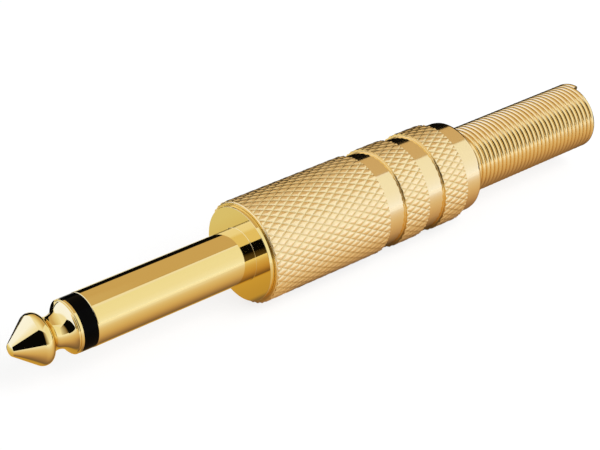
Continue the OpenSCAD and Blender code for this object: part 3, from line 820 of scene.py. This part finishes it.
# The boards' light from one edge, 0, to the other, 1
DARK = (0.003, 0.003, 0.003)
BLACK = ((0, DARK), (1, DARK))
FADING_BLACK = ((0, DARK), (0.52, DARK), (0.6, (0.35, 0.26, 0.14)), (1, (0.95, 0.93, 0.82)))
# Painted shade: the table's shade under the barrel, darkest beneath it, as only reflections show it
SHADE_UNDER_BARREL = ((0, (0.5, 0.32, 0.165)), (0.22, (0.26, 0.16, 0.09)), (0.35, (0.1, 0.065, 0.04)),
                (1, (0.08, 0.055, 0.035)))
TAN = (0.67, 0.485, 0.245)
TAN_BOARD = ((0, (0.58, 0.4, 0.19)), (0.012, (0.61, 0.43, 0.2)), (0.02, TAN), (1, TAN))
TAN_FADE = ((0, (1, 0.98, 0.88)), (0.5, (0.85, 0.75, 0.5)), (1, TAN))
KEY = ((0, (1.08, 1.13, 1.2)), (0.14, (1.03, 1.04, 1)), (0.35, (1, 0.99, 0.86)),
       (1, (0.98, 0.97, 0.8)))
CREAM = ((0, (1.1, 1.26, 2.1)), (0.6, (1.1, 1.24, 1.9)), (0.85, (1, 1, 1)), (1, (1, 1, 1)))


def studio(right, forward, height):
    """A point in millimetres from the plug's flange along the studio's directions."""
    return RIGHT * right + FORWARD * forward + UP * height


def around_tip(azimuth, distance, height):
    """A point in millimetres at that angle round the plug's tip. Azimuth 0 is +X and 90 is +Y."""
    a = math.radians(azimuth)
    return Vector((TIP_X + distance * math.cos(a), distance * math.sin(a), height))


def staged(name, corners, material, only_reflected=True):
    """A flat thing of the studio that isn't part of the plug. Its UV map runs from 0 to 1."""
    mesh = bpy.data.meshes.new(name)
    mesh.from_pydata([Vector(corner) * MM for corner in corners], [], [(0, 1, 2, 3)])
    mesh.materials.append(material)
    board = mesh.uv_layers.new(name="board")
    for corner, place in zip(board.uv, ((0, 0), (1, 0), (1, 1), (0, 1))):
        corner.vector = place
    thing = bpy.data.objects.new(name, mesh)
    bpy.context.scene.collection.objects.link(thing)
    if only_reflected:
        for rays in ("camera", "diffuse", "transmission", "shadow"):
            setattr(thing, "visible_" + rays, False)


def flat_corners(x0, y0, x1, y1, z):
    """The corners of a rectangle that lies level."""
    return [(x0, y0, z), (x1, y0, z), (x1, y1, z), (x0, y1, z)]


def make_panel(name, corners, colours, axis="Y"):
    """A board that only reflections show. Its light changes along one axis of its UV map."""
    material, tree = new_material(name)
    spot = add(tree, "ShaderNodeSeparateXYZ", [add(tree, "ShaderNodeUVMap", uv_map="board")])
    light = add(tree, "ShaderNodeValToRGB", [spot.outputs[axis]], stops=colours)
    add(tree, "ShaderNodeOutputMaterial", [add(tree, "ShaderNodeEmission", [light])])
    staged(name, corners, material)


def make_wall(name, start, end, top, colours, axis="Y"):
    """An upright board that stands on the table between two points."""
    rise = UP * (top - FLOOR_Z)
    make_panel(name, (start, end, end + rise, start + rise), colours, axis)


def make_contact_shade():
    """The dimmer, gold-tinted table under and beside the plug, as the plug's reflections show it."""
    material, tree = new_material("contact_shade")
    place = add(tree, "ShaderNodeTexCoord").outputs["Object"]
    x, y = add(tree, "ShaderNodeSeparateXYZ", [place]).outputs[:2]
    beside = add(tree, "ShaderNodeClamp", [x, TIP_X * MM, SPRING_END * MM])
    past_ends = add(tree, "ShaderNodeMath", [x, beside], operation="SUBTRACT")
    shrink = add(tree, "ShaderNodeMapRange", [x, SHRINK_X[0] * MM, SHRINK_X[1] * MM,
                                              1, SHADE_SHRINK])
    across = add(tree, "ShaderNodeMath", [y, shrink], operation="MULTIPLY")
    offset = add(tree, "ShaderNodeCombineXYZ", [past_ends, across])
    apart = add(tree, "ShaderNodeVectorMath", [offset], operation="LENGTH").outputs["Value"]
    side = add(tree, "ShaderNodeMath", [across], operation="SIGN")
    behind = add(tree, "ShaderNodeMath", [apart, side], operation="MULTIPLY")
    front, back = SHADE[0][0], SHADE[-1][0]
    share = add(tree, "ShaderNodeMapRange", [behind, front * MM, back * MM])
    light = add(tree, "ShaderNodeValToRGB", [share], stops=[
        ((far - front) / (back - front), colour) for far, colour in SHADE])
    add(tree, "ShaderNodeOutputMaterial", [add(tree, "ShaderNodeEmission", [light])])
    staged("contact_shade", flat_corners(TIP_X + front, front, SPRING_END - front, back,
                                         FLOOR_Z + SHEET), material)


def seen_ray(tree):
    """1 for the rays of the eye, and for those that gloss and glass send on, and otherwise 0."""
    path = add(tree, "ShaderNodeLightPath").outputs
    seen = add(tree, "ShaderNodeMath", [path["Is Camera Ray"], path["Is Glossy Ray"]])
    return add(tree, "ShaderNodeMath", [seen, path["Is Transmission Ray"]], use_clamp=True)


def make_table():
    """A pale table top: white to the eye and in reflections, but it still takes the shadow."""
    material, tree = new_material("pale_table")
    seen = seen_ray(tree)
    glow = add(tree, "ShaderNodeEmission", {"Color": linear("#FFFFFF"), "Strength": seen})
    paint = add(tree, "ShaderNodeBsdfDiffuse", {"Color": linear("#F4F4F4")})
    mostly_glow = add(tree, "ShaderNodeMixShader", {"Fac": 0.8, 1: paint, 2: glow})
    plain = add(tree, "ShaderNodeMixShader", [seen, paint, mostly_glow])
    add(tree, "ShaderNodeOutputMaterial", [plain])
    staged("table_top", flat_corners(-2000, -2000, 2000, 2000, FLOOR_Z), material,
           only_reflected=False)


def make_world():
    """White behind everything that the eye, metal or glass sees, and soft light from all round."""
    world = bpy.data.worlds.new("studio")
    bpy.context.scene.world = world
    world.use_nodes = True
    tree = world.node_tree
    tree.nodes.clear()
    soft = add(tree, "ShaderNodeBackground", {"Color": linear("#FFFFFF"), "Strength": 0.7})
    white = add(tree, "ShaderNodeBackground", {"Color": linear("#FFFFFF"), "Strength": 1})
    both = add(tree, "ShaderNodeMixShader", [seen_ray(tree), soft, white])
    add(tree, "ShaderNodeOutputWorld", [both])


def make_lamp(name, place, size, power):
    """A square soft box that faces the plug. The boards stand for it in the metal's reflections."""
    data = bpy.data.lights.new(name, "AREA")
    data.size = size
    data.energy = power
    lamp = bpy.data.objects.new(name, data)
    lamp.location = place * MM
    lamp.rotation_euler = (CENTRE - lamp.location).to_track_quat("-Z", "Y").to_euler()
    lamp.visible_glossy = False
    bpy.context.scene.collection.objects.link(lamp)


def make_camera():
    """The photograph's view: 30 degrees above the plug, from its front left."""
    data = bpy.data.cameras.new("camera")
    data.lens, data.sensor_width = LENS, SENSOR_W
    data.clip_start, data.clip_end = 0.01, 10
    camera = bpy.data.objects.new("camera", data)
    up = CAMERA_RIGHT.cross(CAMERA_AHEAD)
    turned = Matrix((CAMERA_RIGHT, up, -CAMERA_AHEAD)).transposed().to_4x4()
    camera.matrix_world = Matrix.Translation(CAMERA_PLACE * MM) @ turned
    bpy.context.scene.collection.objects.link(camera)
    bpy.context.scene.camera = camera


make_table()
make_contact_shade()
# A dark board of painted shade under the barrel, which only the plug's reflections show
make_panel("shade_under_barrel", flat_corners(5, -6.5, BARREL_END, 3, FLOOR_Z + 2 * SHEET), SHADE_UNDER_BARREL)
make_wall("key_board", studio(420, -650, FLOOR_Z), studio(420, 450, FLOOR_Z), top=582, colours=KEY)
make_wall("cream_board", around_tip(190, 457, FLOOR_Z), around_tip(93, 457, FLOOR_Z),
          top=500, colours=CREAM)
make_wall("camera_side", around_tip(190.5, 440, FLOOR_Z), around_tip(285, 440, FLOOR_Z),
          top=384, colours=FADING_BLACK, axis="X")
make_panel("camera_side_table", [around_tip(*place, FLOOR_Z + 2 * SHEET) for place in (
    (190.5, 70), (243, 70), (243, 300), (190.5, 430))], BLACK)
make_wall("dark_back", studio(-450, 500, FLOOR_Z), studio(500, 500, FLOOR_Z),
          top=205, colours=BLACK)
make_wall("high_dark_back", studio(-26, 499, FLOOR_Z), studio(500, 499, FLOOR_Z),
          top=265, colours=BLACK)
make_panel("dark_back_table", [studio(*place, FLOOR_Z + 2 * SHEET) for place in (
    (-450, 35), (500, 35), (500, 500), (-450, 500))], BLACK)
make_panel("dark_tip_table", [(x, y, FLOOR_Z + 3 * SHEET) for x, y in (
    (-31, 9), (-19, 9), (-10, 60), (-31, 60))], BLACK)
make_panel("tan_ceiling", ((150, -84, 300), (1100, 285, 300), (1100, 1285, 300), (150, 916, 300)),
           TAN_BOARD)
make_panel("fading_ceiling", ((-100, -181, 300), (150, -84, 300), (150, 916, 300),
                              (-100, 819, 300)), TAN_FADE, axis="X")
make_world()
make_camera()
make_lamp("key_lamp", studio(350, -150, 350), size=0.4, power=3)

bpy.context.scene.view_settings.view_transform = "Standard"
